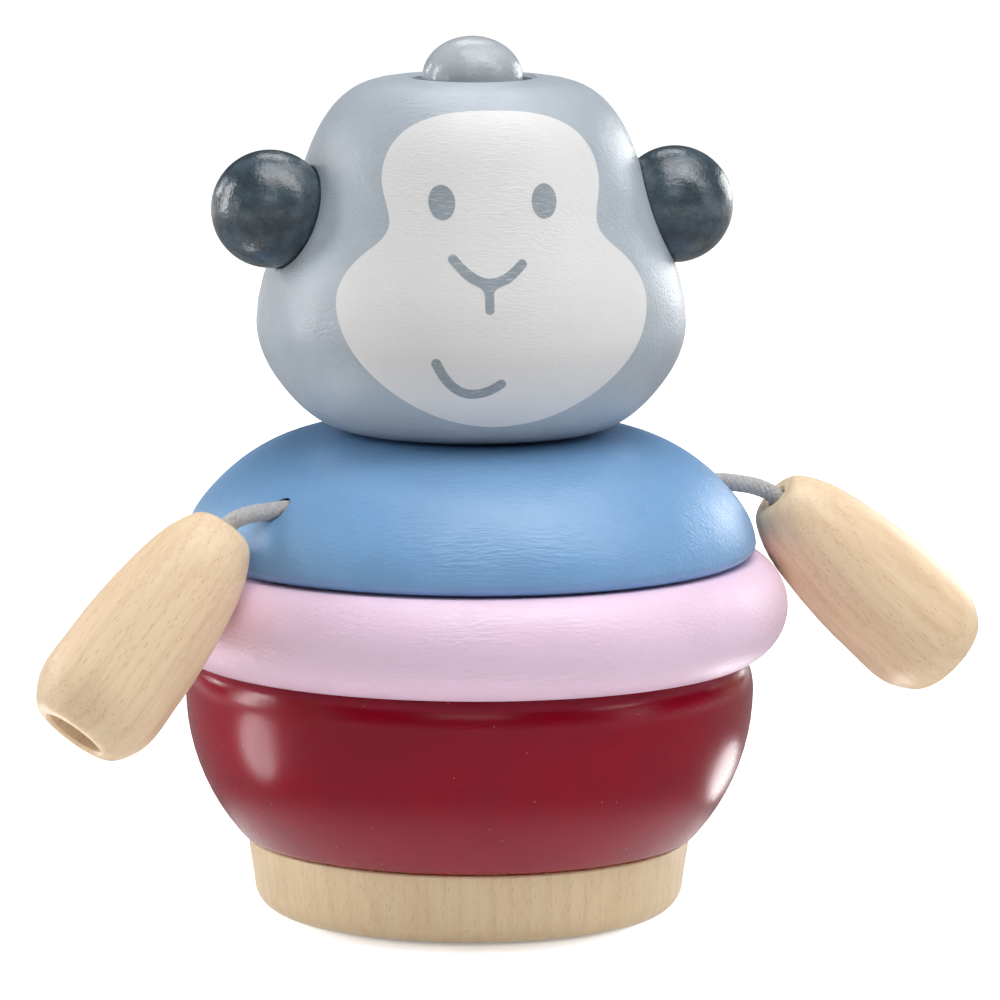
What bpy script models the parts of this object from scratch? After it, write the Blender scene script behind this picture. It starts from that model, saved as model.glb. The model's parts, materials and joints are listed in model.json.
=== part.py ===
"""Wooden monkey stacking game: turned pieces on a round-tipped peg, with two corded arms.

Lengths are in metres, +Z is up and the face looks along -Y.
The origin is the middle of the base's underside.
"""

import math

import bmesh
import bpy
import numpy as np
from mathutils import Matrix, Vector

MM = 0.001

# Clearances
SEAT_GAP = 0.3 * MM
GLUE_GAP = 0.3 * MM
PEG_SLACK = 1.9 * MM
CORD_SLACK = 0.4 * MM
REST_GAP = 0.3 * MM

# Base disc
BASE_RADIUS = 38.0 * MM
BASE_FLARE = 1.1 * MM
BASE_HEIGHT = 12.5 * MM
BASE_FOOT_ROUND = 4.0 * MM
BASE_TOP_ROUND = 0.6 * MM

# Peg
PEG_RADIUS = 8.6 * MM
PEG_TIP = 7.3 * MM
PEG_RISE = 6.9 * MM
PEG_SOCKET = 8.5 * MM
PEG_CHAMFER = 0.6 * MM

# Bowl, the lowest stacked piece
BOWL_RADIUS = 48.8 * MM
BOWL_HEIGHT = 31.1 * MM
BOWL_WIDEST = 25.2 * MM
BOWL_FOOT_RADIUS = 38.3 * MM
BOWL_FOOT_FLARE = 1.9 * MM
BOWL_FOOT_ROUND = 1.5 * MM
BOWL_TOP_RADIUS = 46.0 * MM

# Ring
RING_RADIUS = 54.6 * MM
RING_HEIGHT = 16.9 * MM
RING_ROUND = 9.3 * MM

# Shoulders
SHOULDER_RADIUS = 49.0 * MM
SHOULDER_HEIGHT = 21.3 * MM
SHOULDER_WIDEST = 2.3 * MM
SHOULDER_FOOT_RADIUS = 46.6 * MM
SHOULDER_TOP_RADIUS = 22.5 * MM
SHOULDER_SLOPE_RADIUS = 42.8 * MM
SHOULDER_SLOPE_DROP = 8.7 * MM
SHOULDER_TURN = math.radians(18.0)

# Head
HEAD_TURN = math.radians(5.0)
HEAD_HEIGHT = 60.1 * MM
HEAD_FOOT_RADIUS = 20.0 * MM
JAW_RADIUS = 33.7 * MM
JAW_HEIGHT = 9.4 * MM
CHEEK_RADIUS = 36.7 * MM
CHEEK_HEIGHT = 18.5 * MM
BROW_RADIUS = 31.7 * MM
BROW_HEIGHT = 36.6 * MM
TEMPLE_RADIUS = 27.9 * MM
TEMPLE_HEIGHT = 47.3 * MM
CROWN_RADIUS = 18.2 * MM
CROWN_DROP = 1.1 * MM

# Ears and their dowels
EAR_RADIUS = 10.0 * MM
EAR_HEIGHT = 37.1 * MM
EAR_FLAT = 5.8 * MM
EAR_SINKS = {"left": 1.5 * MM, "right": 2.7 * MM}
EAR_FORWARD = math.radians(7.0)
EAR_HOLE = 7.0 * MM
HEAD_HOLE = 8.0 * MM
DOWEL_RADIUS = 2.5 * MM
DOWEL_CHAMFER = 0.4 * MM

# Arms
ARM_LENGTH = 43.4 * MM
ARM_RADIUS = 11.0 * MM
ARM_WIDEST = 14.0 * MM
HAND_RADIUS = 6.6 * MM
HAND_ROUND_RADIUS = 10.0 * MM
HAND_ROUND_HEIGHT = 3.6 * MM
FOREARM_RADIUS = 9.7 * MM
FOREARM_DROP = 13.3 * MM
WRIST_RADIUS = 6.9 * MM
WRIST_DROP = 3.1 * MM
TIP_RADIUS = 4.0 * MM
RECESS_RADIUS = 5.2 * MM
RECESS_DEPTH = 13.0 * MM
ARM_TURN = math.radians(9.0)
ARM_REACHES = {"left": 10.0 * MM, "right": 9.5 * MM}
ARM_DROPS = {"left": 2.3 * MM, "right": 3.0 * MM}

# Cord
CORD_RADIUS = 1.5 * MM
CORD_HEIGHT = 11.6 * MM
CORD_WALL = 0.9 * MM
CORD_STEP = 7.5 * MM
CORD_START_BOW = 0.28
CORD_END_BOW = 0.42
FREE_CORD_STEPS = 5
KNOT_RADIUS = 4.3 * MM
KNOT_HEIGHT = 7.0 * MM

# Fineness of the turned shapes
TURN_STEPS = 40
PEG_STEPS = 32
EAR_STEPS = 24
ARM_STEPS = 28
DOWEL_STEPS = 16
CURVE_STEP = math.radians(14.0)
BORE_BREAK = 0.5 * MM
CONTACT_STEPS = 48

# Sizes that follow from those above
BORE_RADIUS = PEG_RADIUS + PEG_SLACK
CORD_BORE_RADIUS = CORD_RADIUS + CORD_SLACK
CORD_OFFSET = BORE_RADIUS + CORD_WALL + CORD_BORE_RADIUS
BOWL_Z = BASE_HEIGHT + SEAT_GAP
RING_Z = BOWL_Z + BOWL_HEIGHT + SEAT_GAP
SHOULDER_Z = RING_Z + RING_HEIGHT + SEAT_GAP
HEAD_Z = SHOULDER_Z + SHOULDER_HEIGHT + SEAT_GAP
PEG_TOP = HEAD_Z + HEAD_HEIGHT + PEG_RISE
PEG_BOTTOM = BASE_HEIGHT - PEG_SOCKET + GLUE_GAP


def clear_scene():
    """Removes what the scene holds at the start."""
    for old in list(bpy.data.objects):
        bpy.data.objects.remove(old, do_unlink=True)


def finish(name, colour, roughness):
    """A plain painted or bare wood finish."""
    material = bpy.data.materials.new(name)
    material.use_nodes = True
    shader = material.node_tree.nodes["Principled BSDF"]
    shader.inputs["Base Color"].default_value = (*colour, 1.0)
    shader.inputs["Roughness"].default_value = roughness
    shader.inputs["Metallic"].default_value = 0.0
    return material


def cubic(corners, t):
    """The point at share t of a cubic curve with four corners."""
    weights = ((1 - t) ** 3, 3 * t * (1 - t) ** 2, 3 * t**2 * (1 - t), t**3)
    return sum((w * c for w, c in zip(weights[1:], corners[1:])), weights[0] * corners[0])


def curve_points(start, end):
    """Points after start up to end on a cubic whose ends have the stations' headings."""
    (r0, z0, heading0), (r1, z1, heading1) = start, end
    chord = math.hypot(r1 - r0, z1 - z0)
    turn = abs(heading1 - heading0)
    # This handle makes an even curve a circular arc.
    handle = chord / 3 if turn < 1e-3 else chord * 2 / 3 * math.tan(turn / 4) / math.sin(turn / 2)
    corners = [
        Vector((r0, z0)),
        Vector((r0 + handle * math.cos(heading0), z0 + handle * math.sin(heading0))),
        Vector((r1 - handle * math.cos(heading1), z1 - handle * math.sin(heading1))),
        Vector((r1, z1)),
    ]
    steps = max(2, math.ceil(turn / CURVE_STEP))
    return [tuple(cubic(corners, i / steps)) for i in range(1, steps + 1)]


def profile(*stations):
    """An outline through stations (radius, height) or (radius, height, heading in degrees).

    Two neighbours with headings are joined by a curve, and others by a straight line.
    """
    points = [stations[0][:2]]
    for start, end in zip(stations, stations[1:]):
        if len(start) == 3 and len(end) == 3:
            ends = [(r, z, math.radians(heading)) for r, z, heading in (start, end)]
            points.extend(curve_points(*ends))
        else:
            points.append(end[:2])
    return points


def bored(outline, height):
    """Closes the outer outline of a stacked piece with the peg's bore, its two edges broken."""
    return [
        (BORE_RADIUS, BORE_BREAK),
        (BORE_RADIUS + BORE_BREAK, 0.0),
        *outline,
        (BORE_RADIUS + BORE_BREAK, height),
        (BORE_RADIUS, height - BORE_BREAK),
    ]


def surface_at(outline, height):
    """Radius and slope angle from vertical of an outer outline, climbing, at one height."""
    for (r0, z0), (r1, z1) in zip(outline, outline[1:]):
        if z0 <= height < z1:
            share = (height - z0) / (z1 - z0)
            return r0 + share * (r1 - r0), math.atan2(r0 - r1, z1 - z0)
    raise ValueError("the outline doesn't reach this height")


def turned(name, outline, steps, material, closed=True):
    """A body of revolution about its own Z axis; an outline that isn't closed ends on the axis."""
    shape = bmesh.new()
    verts = [shape.verts.new((r, 0.0, z)) for r, z in outline]
    edges = [shape.edges.new(pair) for pair in zip(verts, verts[1:])]
    if closed:
        edges.append(shape.edges.new((verts[-1], verts[0])))
    bmesh.ops.spin(
        shape,
        geom=verts + edges,
        cent=(0.0, 0.0, 0.0),
        axis=(0.0, 0.0, 1.0),
        angle=2 * math.pi,
        steps=steps,
        use_merge=True,
    )
    bmesh.ops.remove_doubles(shape, verts=shape.verts, dist=1e-6)
    bmesh.ops.recalc_face_normals(shape, faces=shape.faces)
    mesh = bpy.data.meshes.new(name)
    shape.to_mesh(mesh)
    shape.free()
    mesh.shade_smooth()
    mesh.set_sharp_from_angle(angle=math.radians(35.0))
    mesh.materials.append(material)
    return mesh


def place(name, data, parent=None, location=(0.0, 0.0, 0.0), turn=None):
    """Puts data into the scene as a named object, placed in its parent's frame."""
    piece = bpy.data.objects.new(name, data)
    bpy.context.scene.collection.objects.link(piece)
    piece.parent = parent
    piece.location = location
    if turn is not None:
        piece.rotation_euler = turn.to_euler()
    return piece


def cut(piece, name, mesh, location=(0.0, 0.0, 0.0), turn=None):
    """Cuts a shape out of a piece with a live Boolean."""
    cutter = place(name, mesh, piece, location, turn)
    cutter.hide_render = True
    cutter.display_type = "WIRE"
    hole = piece.modifiers.new(name, "BOOLEAN")
    hole.operation = "DIFFERENCE"
    hole.solver = "EXACT"
    hole.object = cutter


def strand(name, points, material, parent):
    """A stretch of cord: a tube with filled ends along points in its parent's frame."""
    curve = bpy.data.curves.new(name, "CURVE")
    curve.dimensions = "3D"
    curve.bevel_depth = CORD_RADIUS
    curve.bevel_resolution = 2
    curve.use_fill_caps = True
    line = curve.splines.new("POLY")
    line.points.add(len(points) - 1)
    for spot, point in zip(line.points, points):
        spot.co = (*point, 1.0)
    curve.materials.append(material)
    return place(name, curve, parent)


def straight(start, end):
    """Evenly spaced points from start to end, about a cord step apart."""
    count = max(1, round((end - start).length / CORD_STEP))
    return [start.lerp(end, i / count) for i in range(count + 1)]


def base_outline():
    """The base: a round-footed disc with a blind hole for the peg, open on the axis at both ends."""
    foot = BASE_RADIUS - BASE_FLARE
    socket = PEG_RADIUS + GLUE_GAP
    floor = BASE_HEIGHT - PEG_SOCKET
    lean = 90.0 - math.degrees(math.atan2(BASE_FLARE, BASE_HEIGHT))
    return profile(
        (0.0, 0.0),
        (foot - BASE_FOOT_ROUND, 0.0, 0.0),
        (foot, BASE_FOOT_ROUND, lean),
        (BASE_RADIUS, BASE_HEIGHT - BASE_TOP_ROUND),
        (BASE_RADIUS - BASE_TOP_ROUND, BASE_HEIGHT),
        (socket + BORE_BREAK, BASE_HEIGHT),
        (socket, BASE_HEIGHT - BORE_BREAK),
        (socket, floor),
        (0.0, floor),
    )


def peg_outline():
    """The peg: a dowel with a chamfered foot and a rounded tip, measured from its foot."""
    length = PEG_TOP - PEG_BOTTOM
    return profile(
        (0.0, 0.0),
        (PEG_RADIUS - PEG_CHAMFER, 0.0),
        (PEG_RADIUS, PEG_CHAMFER),
        (PEG_RADIUS, length - PEG_TIP, 90.0),
        (0.0, length, 180.0),
    )


def bowl_outline():
    """The bowl's outer outline: drawn in at the foot, widest below its rounded top edge."""
    return profile(
        (BOWL_FOOT_RADIUS, 0.0, 0.0),
        (BOWL_FOOT_RADIUS + BOWL_FOOT_FLARE, BOWL_FOOT_ROUND, 50.0),
        (BOWL_RADIUS, BOWL_WIDEST, 90.0),
        (BOWL_TOP_RADIUS, BOWL_HEIGHT, 160.0),
    )


def ring_outline():
    """The ring's outer outline: an arc of the rim's roundness between two flat faces."""
    half = RING_HEIGHT / 2
    reach = math.sqrt(RING_ROUND**2 - half**2)
    edge = RING_RADIUS - RING_ROUND + reach
    heading = math.degrees(math.atan2(reach, half))
    return profile(
        (edge, 0.0, heading),
        (RING_RADIUS, half, 90.0),
        (edge, RING_HEIGHT, 180.0 - heading),
    )


def shoulder_outline():
    """The shoulders' outer outline: a dome over a tightly rounded foot."""
    return profile(
        (SHOULDER_FOOT_RADIUS, 0.0, 0.0),
        (SHOULDER_RADIUS, SHOULDER_WIDEST, 96.0),
        (SHOULDER_SLOPE_RADIUS, SHOULDER_HEIGHT - SHOULDER_SLOPE_DROP, 135.0),
        (SHOULDER_TOP_RADIUS, SHOULDER_HEIGHT, 180.0),
    )


def head_outline():
    """The head's outer outline: round jaw, full cheeks, straight temples and a soft crown."""
    return profile(
        (HEAD_FOOT_RADIUS, 0.0, 0.0),
        (JAW_RADIUS, JAW_HEIGHT, 56.0),
        (CHEEK_RADIUS, CHEEK_HEIGHT, 90.0),
        (BROW_RADIUS, BROW_HEIGHT, 109.0),
        (TEMPLE_RADIUS, TEMPLE_HEIGHT, 110.0),
        (CROWN_RADIUS, HEAD_HEIGHT - CROWN_DROP, 160.0),
        (BORE_RADIUS + BORE_BREAK, HEAD_HEIGHT, 175.0),
    )


def arm_outline():
    """An arm's outer outline, from its hand end at -ARM_LENGTH up to its shoulder end at 0."""
    hand = -ARM_LENGTH
    return profile(
        (HAND_RADIUS, hand, 10.0),
        (HAND_ROUND_RADIUS, hand + HAND_ROUND_HEIGHT, 62.0),
        (ARM_RADIUS, hand + ARM_WIDEST, 90.0),
        (FOREARM_RADIUS, -FOREARM_DROP, 99.0),
        (WRIST_RADIUS, -WRIST_DROP, 118.0),
        (TIP_RADIUS, 0.0, 170.0),
    )


def arm_section():
    """An arm's whole section: the outer outline, the cord's bore and the recess for the knot."""
    hand = -ARM_LENGTH
    floor = hand + RECESS_DEPTH
    return [
        (RECESS_RADIUS, hand + BORE_BREAK),
        (RECESS_RADIUS + BORE_BREAK, hand),
        *arm_outline(),
        (CORD_BORE_RADIUS + BORE_BREAK, 0.0),
        (CORD_BORE_RADIUS, -BORE_BREAK),
        (CORD_BORE_RADIUS, floor),
        (RECESS_RADIUS - BORE_BREAK, floor),
        (RECESS_RADIUS, floor - BORE_BREAK),
    ]


def raised(outline, height):
    """An outline of a stacked piece, closed on the axis and moved up to its level."""
    whole = [(0.0, outline[0][1]), *outline, (0.0, outline[-1][1])]
    return np.array([(r, z + height) for r, z in whole])


def nearest(outline, points):
    """Least distance from points (radius, height) to a closed outline, below zero inside it."""
    starts = outline
    ends = np.roll(outline, -1, axis=0)
    runs = ends - starts
    lengths = np.maximum((runs**2).sum(axis=1), 1e-18)
    away = points[:, None, :] - starts[None]
    shares = np.clip((away * runs).sum(axis=2) / lengths, 0.0, 1.0)
    distances = np.linalg.norm(away - shares[..., None] * runs, axis=2).min(axis=1)
    heights = points[:, 1][:, None]
    spans = (starts[:, 1] > heights) != (ends[:, 1] > heights)
    rises = np.where(runs[:, 1] == 0.0, 1.0, runs[:, 1])
    crossings = starts[:, 0] + (heights - starts[:, 1]) / rises * runs[:, 0]
    inside = (spans & (points[:, 0][:, None] < crossings)).sum(axis=1) % 2 == 1
    return float(np.where(inside, -distances, distances).min())


def arm_turn(lean):
    """Turns an arm's +Z to lean back over its pivot, with its hand out and down."""
    return Matrix.Rotation(-lean, 3, "Y")


def arm_gap(pivot_frame, end, lean, obstacles):
    """Least distance of a leaning arm's surface to the outlines of the turned pieces beside it."""
    outline = np.array(arm_outline())
    around = np.linspace(0.0, 2 * math.pi, CONTACT_STEPS, endpoint=False)
    radii, heights = outline[:, 0], outline[:, 1]
    local = np.stack(
        [
            np.outer(np.cos(around), radii).ravel(),
            np.outer(np.sin(around), radii).ravel(),
            np.tile(heights, len(around)),
        ],
        axis=1,
    )
    moved = local @ np.array(arm_turn(lean)).T + np.array(end)
    frame = np.array(pivot_frame)
    world = moved @ frame[:3, :3].T + frame[:3, 3]
    flat = np.stack([np.hypot(world[:, 0], world[:, 1]), world[:, 2]], axis=1)
    return min(nearest(outline, flat) for outline in obstacles)


def resting_lean(pivot_frame, end):
    """The lean from vertical at which an arm lies one rest gap off the ring and the shoulders."""
    obstacles = [
        raised(ring_outline(), RING_Z),
        raised(shoulder_outline(), SHOULDER_Z),
        raised(bowl_outline(), BOWL_Z),
    ]
    low, high = 0.0, math.pi / 2
    for _ in range(30):
        middle = (low + high) / 2
        if arm_gap(pivot_frame, end, middle, obstacles) < REST_GAP:
            low = middle
        else:
            high = middle
    return high


def cord_exit(side):
    """Where the cord's middle line leaves the shoulders, in their own frame, at side -1 or 1."""
    radius, _ = surface_at(shoulder_outline(), CORD_HEIGHT)
    half = math.sqrt(radius**2 - CORD_OFFSET**2)
    return Vector((side * half, -CORD_OFFSET, CORD_HEIGHT))


def free_cord(side, end, lean):
    """Points of the free stretch in the pivot's frame, from the shoulders into the arm's end."""
    start_way = Matrix.Rotation(side * chord_bearing(), 3, "Z") @ Vector((1.0, 0.0, 0.0))
    end_way = Vector((math.sin(lean), 0.0, -math.cos(lean)))
    start = start_way * SEAT_GAP / 2
    bow = end.length * CORD_START_BOW, end.length * CORD_END_BOW
    corners = (start, start + start_way * bow[0], end - end_way * bow[1], end)
    return [cubic(corners, i / FREE_CORD_STEPS) for i in range(FREE_CORD_STEPS + 1)]


def exit_bearing():
    """Angle in plan between the shoulders' middle direction and a cord exit, seen from the axis."""
    spot = cord_exit(1)
    return math.atan2(spot.x, -spot.y)


def chord_bearing():
    """Angle in plan from an arm's heading to the cord's bore."""
    return math.pi / 2 - exit_bearing() - ARM_TURN


def build_stack(finishes):
    """The base with its peg, and the pieces stacked on them."""
    base = place("base_disc", turned("base_disc", base_outline(), TURN_STEPS, finishes["wood"], False))
    peg = turned("peg", peg_outline(), PEG_STEPS, finishes["grey"], False)
    place("peg", peg, base, (0.0, 0.0, PEG_BOTTOM))
    stack = (
        ("bowl", bowl_outline(), BOWL_Z, BOWL_HEIGHT, "maroon"),
        ("ring", ring_outline(), RING_Z, RING_HEIGHT, "pink"),
        ("shoulders", shoulder_outline(), SHOULDER_Z, SHOULDER_HEIGHT, "blue"),
        ("head", head_outline(), HEAD_Z, HEAD_HEIGHT, "pale_blue"),
    )
    pieces = {}
    below, level = base, 0.0
    for name, outline, z, height, colour in stack:
        mesh = turned(name, bored(outline, height), TURN_STEPS, finishes[colour])
        pieces[name] = place(name, mesh, below, (0.0, 0.0, z - level))
        below, level = pieces[name], z
    return pieces


def build_ears(head, finishes):
    """Two flattened balls in round seats on the head's sides, each held by a dowel."""
    radius, slope = surface_at(head_outline(), EAR_HEIGHT)
    flat_radius = math.sqrt(EAR_RADIUS**2 - EAR_FLAT**2)
    hole = DOWEL_RADIUS + GLUE_GAP
    start = -math.degrees(math.asin(EAR_FLAT / EAR_RADIUS))
    ball = profile(
        (0.0, EAR_HOLE - EAR_FLAT),
        (hole, EAR_HOLE - EAR_FLAT),
        (hole, -EAR_FLAT),
        (flat_radius, -EAR_FLAT, start + 90.0),
        (EAR_RADIUS, 0.0, 90.0),
        (0.0, EAR_RADIUS, 180.0),
    )
    seat = -EAR_FLAT - SEAT_GAP
    hollow = EAR_RADIUS + GLUE_GAP
    edge = math.degrees(math.asin(seat / hollow))
    socket = profile(
        (0.0, seat - HEAD_HOLE),
        (hole, seat - HEAD_HOLE),
        (hole, seat),
        (math.sqrt(hollow**2 - seat**2), seat, edge + 90.0),
        (hollow, 0.0, 90.0),
        (0.0, hollow, 180.0),
    )
    length = EAR_HOLE + HEAD_HOLE + SEAT_GAP - 2 * GLUE_GAP
    dowel = [
        (0.0, 0.0),
        (DOWEL_RADIUS - DOWEL_CHAMFER, 0.0),
        (DOWEL_RADIUS, DOWEL_CHAMFER),
        (DOWEL_RADIUS, length - DOWEL_CHAMFER),
        (DOWEL_RADIUS - DOWEL_CHAMFER, length),
        (0.0, length),
    ]
    for side, word in ((-1, "left"), (1, "right")):
        around = Matrix.Rotation(-side * EAR_FORWARD, 3, "Z")
        turn = around @ Matrix.Rotation(side * (math.pi / 2 - slope), 3, "Y")
        spot = around @ Vector((side * radius, 0.0, EAR_HEIGHT))
        middle = spot + turn @ Vector((0.0, 0.0, EAR_FLAT + SEAT_GAP - EAR_SINKS[word]))
        cutter = turned(f"ear_seat_{word}", socket, EAR_STEPS, finishes["pale_blue"], False)
        cut(head, f"ear_seat_{word}", cutter, middle, turn)
        ear = turned(f"ear_{word}", ball, EAR_STEPS, finishes["slate"], False)
        ear = place(f"ear_{word}", ear, head, middle, turn)
        pin = turned(f"ear_dowel_{word}", dowel, DOWEL_STEPS, finishes["wood"], False)
        place(f"ear_dowel_{word}", pin, ear, (0.0, 0.0, seat - HEAD_HOLE + GLUE_GAP))


def build_cord_bore(shoulders, finishes):
    """The bore that carries the cord through the shoulders, in front of the peg, and its cord."""
    radius = CORD_BORE_RADIUS
    reach = SHOULDER_RADIUS
    bar = [(0.0, -reach), (radius, -reach), (radius, reach), (0.0, reach)]
    mesh = turned("cord_bore", bar, DOWEL_STEPS, finishes["blue"], False)
    cut(
        shoulders,
        "cord_bore",
        mesh,
        (0.0, -CORD_OFFSET, CORD_HEIGHT),
        Matrix.Rotation(math.pi / 2, 3, "Y"),
    )
    stop = Vector((SEAT_GAP / 2, 0.0, 0.0))
    ends = cord_exit(-1) + stop, cord_exit(1) - stop
    strand("cord_middle", straight(*ends), finishes["cord"], shoulders)


def knot_outline():
    """The stopper knot, from its lower end up to where the cord enters it."""
    return profile(
        (0.0, 0.0, 0.0),
        (KNOT_RADIUS, KNOT_HEIGHT / 2, 90.0),
        (CORD_RADIUS, KNOT_HEIGHT, 150.0),
        (0.0, KNOT_HEIGHT),
    )


def build_arm(side, word, shoulders, finishes):
    """One arm on its end of the cord, on an empty at the point where the cord leaves the shoulders."""
    pivot = place(f"arm_pivot_{word}", None, shoulders, cord_exit(side))
    bearing = exit_bearing() + ARM_TURN
    pivot.rotation_euler = (0.0, 0.0, side * bearing - math.pi / 2)
    bpy.context.view_layer.update()
    end = Vector((ARM_REACHES[word], 0.0, -ARM_DROPS[word]))
    lean = resting_lean(pivot.matrix_world, end)
    mesh = turned(f"arm_{word}", arm_section(), ARM_STEPS, finishes["wood"])
    arm = place(f"arm_{word}", mesh, pivot, end, arm_turn(lean))
    strand(f"cord_{word}", free_cord(side, end, lean), finishes["cord"], pivot)
    floor = RECESS_DEPTH - ARM_LENGTH
    knot_top = Vector((0.0, 0.0, floor - SEAT_GAP))
    cord_top = Vector((0.0, 0.0, -SEAT_GAP))
    strand(f"cord_end_{word}", straight(cord_top, knot_top), finishes["cord"], arm)
    knot = turned(f"knot_{word}", knot_outline(), DOWEL_STEPS, finishes["cord"], False)
    place(f"knot_{word}", knot, arm, (0.0, 0.0, floor - 2 * SEAT_GAP - KNOT_HEIGHT))


def main():
    """Builds the whole game at rest."""
    clear_scene()
    finishes = {
        "wood": finish("bare_wood", (0.63, 0.45, 0.29), 0.5),
        "grey": finish("grey_paint", (0.42, 0.47, 0.51), 0.28),
        "maroon": finish("maroon_paint", (0.22, 0.012, 0.022), 0.18),
        "pink": finish("pink_paint", (0.75, 0.5, 0.62), 0.32),
        "blue": finish("blue_paint", (0.2, 0.36, 0.62), 0.3),
        "pale_blue": finish("pale_blue_paint", (0.45, 0.51, 0.58), 0.35),
        "slate": finish("slate_paint", (0.045, 0.06, 0.078), 0.2),
        "cord": finish("grey_cord", (0.4, 0.39, 0.39), 0.8),
    }
    pieces = build_stack(finishes)
    pieces["shoulders"].rotation_euler = (0.0, 0.0, SHOULDER_TURN)
    pieces["head"].rotation_euler = (0.0, 0.0, HEAD_TURN - SHOULDER_TURN)
    build_ears(pieces["head"], finishes)
    build_cord_bore(pieces["shoulders"], finishes)
    for side, word in ((-1, "left"), (1, "right")):
        build_arm(side, word, pieces["shoulders"], finishes)


main()
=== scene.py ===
"""Looks of the wooden monkey stacking game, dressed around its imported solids.

Each class is one sub-assembly or one kind of finish, and main() builds them in order. Meshes are
in metres, with +Z up along the peg and the face towards -Y. The sizes that the classes hold are in
millimetres and degrees, where their docstring says nothing else.
"""

import json
import logging
import math
from dataclasses import dataclass, replace
from enum import Enum
from itertools import pairwise

import bmesh
import bpy
from mathutils import Matrix, Vector


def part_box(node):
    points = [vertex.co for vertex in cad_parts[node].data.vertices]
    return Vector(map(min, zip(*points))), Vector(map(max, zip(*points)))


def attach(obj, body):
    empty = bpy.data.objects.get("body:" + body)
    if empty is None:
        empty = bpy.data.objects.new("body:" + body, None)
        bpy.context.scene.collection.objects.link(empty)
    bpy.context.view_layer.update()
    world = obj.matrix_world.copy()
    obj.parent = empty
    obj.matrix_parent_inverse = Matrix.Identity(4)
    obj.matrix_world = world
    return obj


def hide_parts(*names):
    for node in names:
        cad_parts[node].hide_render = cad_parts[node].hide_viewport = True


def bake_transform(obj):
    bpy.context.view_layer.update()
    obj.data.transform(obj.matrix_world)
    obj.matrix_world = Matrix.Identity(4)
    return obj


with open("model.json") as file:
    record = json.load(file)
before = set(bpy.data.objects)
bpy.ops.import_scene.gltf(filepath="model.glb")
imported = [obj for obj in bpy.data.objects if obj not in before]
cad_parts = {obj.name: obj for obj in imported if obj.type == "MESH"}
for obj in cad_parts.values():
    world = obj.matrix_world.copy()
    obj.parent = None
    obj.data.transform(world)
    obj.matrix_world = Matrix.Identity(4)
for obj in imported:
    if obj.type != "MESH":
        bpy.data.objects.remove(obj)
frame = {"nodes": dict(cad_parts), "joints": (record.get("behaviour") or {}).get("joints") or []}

LOG = logging.getLogger("stacking_game")
MM = 0.001
UP = Vector((0.0, 0.0, 1.0))

# Fineness of the surfaces
ARC_STEP = math.radians(4.0)
SHARP_ANGLE = math.radians(40.0)
TURN_STEPS = 160
BALL_STEPS = 96
ARM_STEPS = 112
BORE_STEPS = 48
EYE_STEPS = 48
CORD_STEPS = 24
STRAIGHT_STEPS = 20
KNOT_STEPS = 80
SAME_PLACE = 1e-6
SAME_HEADING = 1e-3

# Millimetres that glued pieces stand apart, and that the edges of a bore are broken
GLUE_GAP = 0.3
EDGE = 0.5

WHITE = (1.0, 1.0, 1.0, 1.0)
DUST_GREY = (0.75, 0.72, 0.7, 1.0)
GROUND_GREY = (0.75, 0.76, 0.77, 1.0)

Station = tuple[float, ...]
Colour = tuple[float, float, float]
Form = bmesh.types.BMesh
Mesh = bpy.types.Mesh
Material = bpy.types.Material
Object = bpy.types.Object
Socket = bpy.types.NodeSocket


class Side(Enum):
    """The viewer's left or right of the face."""

    LEFT = "left"
    RIGHT = "right"

    @property
    def sign(self) -> int:
        """-1 on the viewer's left and 1 on the right."""
        return -1 if self is Side.LEFT else 1


class Slot(Enum):
    """The record's material slots."""

    WOOD = "bare_wood"
    GREY = "grey_paint"
    MAROON = "maroon_paint"
    PINK = "pink_paint"
    BLUE = "blue_paint"
    PALE_BLUE = "pale_blue_paint"
    SLATE = "slate_paint"
    CORD = "grey_cord"


def straight(start: Vector, end: Vector) -> list[Vector]:
    """Even points from a start to an end."""
    return [start.lerp(end, i / STRAIGHT_STEPS) for i in range(STRAIGHT_STEPS + 1)]


def cubic(corners: list[Vector], count: int) -> list[Vector]:
    """A cubic curve.

    Args:
        corners: The curve's four corners.
        count: Steps from its start to its end.

    Returns:
        Its points, both ends among them.
    """
    line = []
    for t in (i / count for i in range(count + 1)):
        weights = ((1 - t) ** 3, 3 * t * (1 - t) ** 2, 3 * t**2 * (1 - t), t**3)
        line.append(sum((w * c for w, c in zip(weights[1:], corners[1:])), weights[0] * corners[0]))
    return line


def curve_between(start: Station, end: Station) -> list[Vector]:
    """A curve that keeps the headings of its two stations.

    Args:
        start: Place and heading at its start.
        end: Place and heading at its end.

    Returns:
        Its points after the start, with at most ARC_STEP of turn between two of them.
    """
    first, last = Vector(start[:2]), Vector(end[:2])
    heading0, heading1 = math.radians(start[2]), math.radians(end[2])
    chord, turn = (last - first).length, abs(heading1 - heading0)
    # This handle makes an even curve a circular arc.
    bend = 1 if turn < SAME_HEADING else 2 * math.tan(turn / 4) / math.sin(turn / 2)
    handle = chord * bend / 3
    way0 = Vector((math.cos(heading0), math.sin(heading0)))
    way1 = Vector((math.cos(heading1), math.sin(heading1)))
    corners = [first, first + handle * way0, last - handle * way1, last]
    return cubic(corners, max(4, math.ceil(turn / ARC_STEP)))[1:]


def traced(*stations: Station) -> list[Vector]:
    """A line through stations.

    Args:
        stations: (radius, height) or (radius, height, heading). Two neighbours with headings are
            joined by a curve, and others by a straight line.

    Returns:
        The line's points, in metres.
    """
    line = [Vector(stations[0][:2])]
    for start, end in pairwise(stations):
        curved = len(start) == 3 and len(end) == 3
        line.extend(curve_between(start, end) if curved else [Vector(end[:2])])
    return [point * MM for point in line]


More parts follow.
